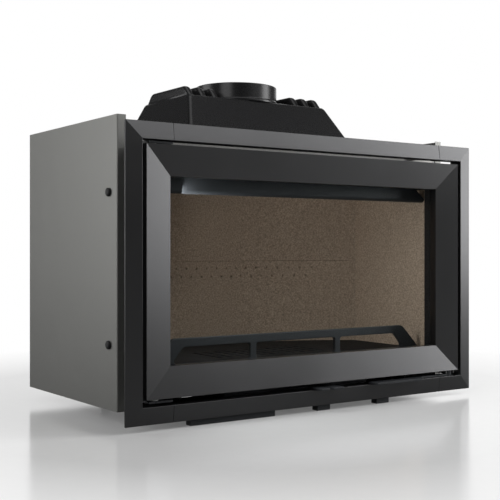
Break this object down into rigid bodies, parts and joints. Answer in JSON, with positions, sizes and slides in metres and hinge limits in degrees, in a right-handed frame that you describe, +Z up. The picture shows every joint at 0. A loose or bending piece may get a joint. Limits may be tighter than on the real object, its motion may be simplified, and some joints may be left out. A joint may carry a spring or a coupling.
{
  "type": "fireplace insert",
  "caption": "Wide wood-burning fireplace insert: glazed door with side hinge in a bevelled surround, lined firebox, sliding air levers, sheet casing, smoke dome and round flue collar on top.",
  "frame": {"origin": "middle of the footprint, at floor level", "axes": "+X to the right seen from the front, +Y to the back, +Z up; the door faces -Y"},
  "size_m": [0.8, 0.4638, 0.633],
  "materials": {
    "galvanised_sheet": "dull galvanised sheet",
    "surround_paint": "satin graphite paint",
    "door_paint": "satin graphite paint",
    "black_cast_iron": "matt black paint",
    "black_steel": "matt black paint",
    "refractory_board": "dry mineral board",
    "plain_steel": "satin",
    "black_bolts": "satin black",
    "clear_glass": "polished",
    "seal_fibre": "woven fibre"
  },
  "bodies": {
    "insert": {"casing_left_panel": "galvanised_sheet", "casing_right_panel": "galvanised_sheet", "casing_back_panel": "galvanised_sheet", "casing_top_rail": "galvanised_sheet", "casing_base": "galvanised_sheet", "surround_left": "surround_paint", "surround_right": "surround_paint", "surround_top": "surround_paint", "surround_bottom": "surround_paint", "firebox_front_frame": "black_cast_iron", "firebox_shell": "black_cast_iron", "firebox_base_plate": "black_cast_iron", "firebox_top_plate": "black_cast_iron", "smoke_dome": "black_cast_iron", "flue_collar": "black_cast_iron", "hearth_plate": "black_cast_iron", "grate": "black_cast_iron", "foot_front_left": "black_steel", "foot_front_right": "black_steel", "foot_rear_left": "black_steel", "foot_rear_right": "black_steel", "surround_pad_left": "black_steel", "surround_pad_centre": "black_steel", "surround_pad_right": "black_steel", "surround_tie_left": "black_steel", "surround_tie_right": "black_steel", "rear_air_duct": "black_steel", "air_wash_deflector": "black_steel", "ash_pan": "black_steel", "log_guard": "black_steel", "base_channel_left": "black_steel", "base_channel_right": "black_steel", "air_box": "black_steel", "air_inlet_spigot": "black_steel", "hinge_bracket_top": "black_steel", "hinge_bracket_bottom": "black_steel", "lining_left": "refractory_board", "lining_right": "refractory_board", "lining_back_lower": "refractory_board", "lining_back_upper": "refractory_board", "baffle_plate": "refractory_board", "air_valve_seat": "plain_steel", "hinge_pin_top": "plain_steel", "hinge_pin_bottom": "plain_steel", "door_catch": "plain_steel", "casing_bolt_left_lower": "black_bolts", "casing_bolt_left_upper": "black_bolts", "casing_bolt_right_lower": "black_bolts", "casing_bolt_right_upper": "black_bolts"},
    "door": {"door_frame": "door_paint", "door_glass": "clear_glass", "glass_gasket": "seal_fibre", "door_rope_seal": "seal_fibre", "glass_retainer_left": "plain_steel", "glass_retainer_right": "plain_steel", "handle_pivot_screw": "plain_steel"},
    "handle": {"door_handle": "black_steel"},
    "ignition_air": {"ignition_air_lever": "black_steel"},
    "combustion_air": {"combustion_air_lever": "black_steel"}
  },
  "joints": [
    {"name": "door_hinge", "type": "hinge", "parent": "insert", "child": "door", "pos_m": [-0.343, -0.20245, 0.263], "axis": [0, 0, -1], "range_deg": [0, 110]},
    {"name": "handle_pivot", "type": "hinge", "parent": "door", "child": "handle", "pos_m": [0.343, -0.20245, 0.044], "axis": [0, 0, 1], "range_deg": [0, 25]},
    {"name": "ignition_air_slide", "type": "slide", "parent": "insert", "child": "ignition_air", "axis": [0, -1, 0], "range_m": [0, 0.025]},
    {"name": "combustion_air_slide", "type": "slide", "parent": "insert", "child": "combustion_air", "axis": [0, -1, 0], "range_m": [0, 0.025]}
  ]
}
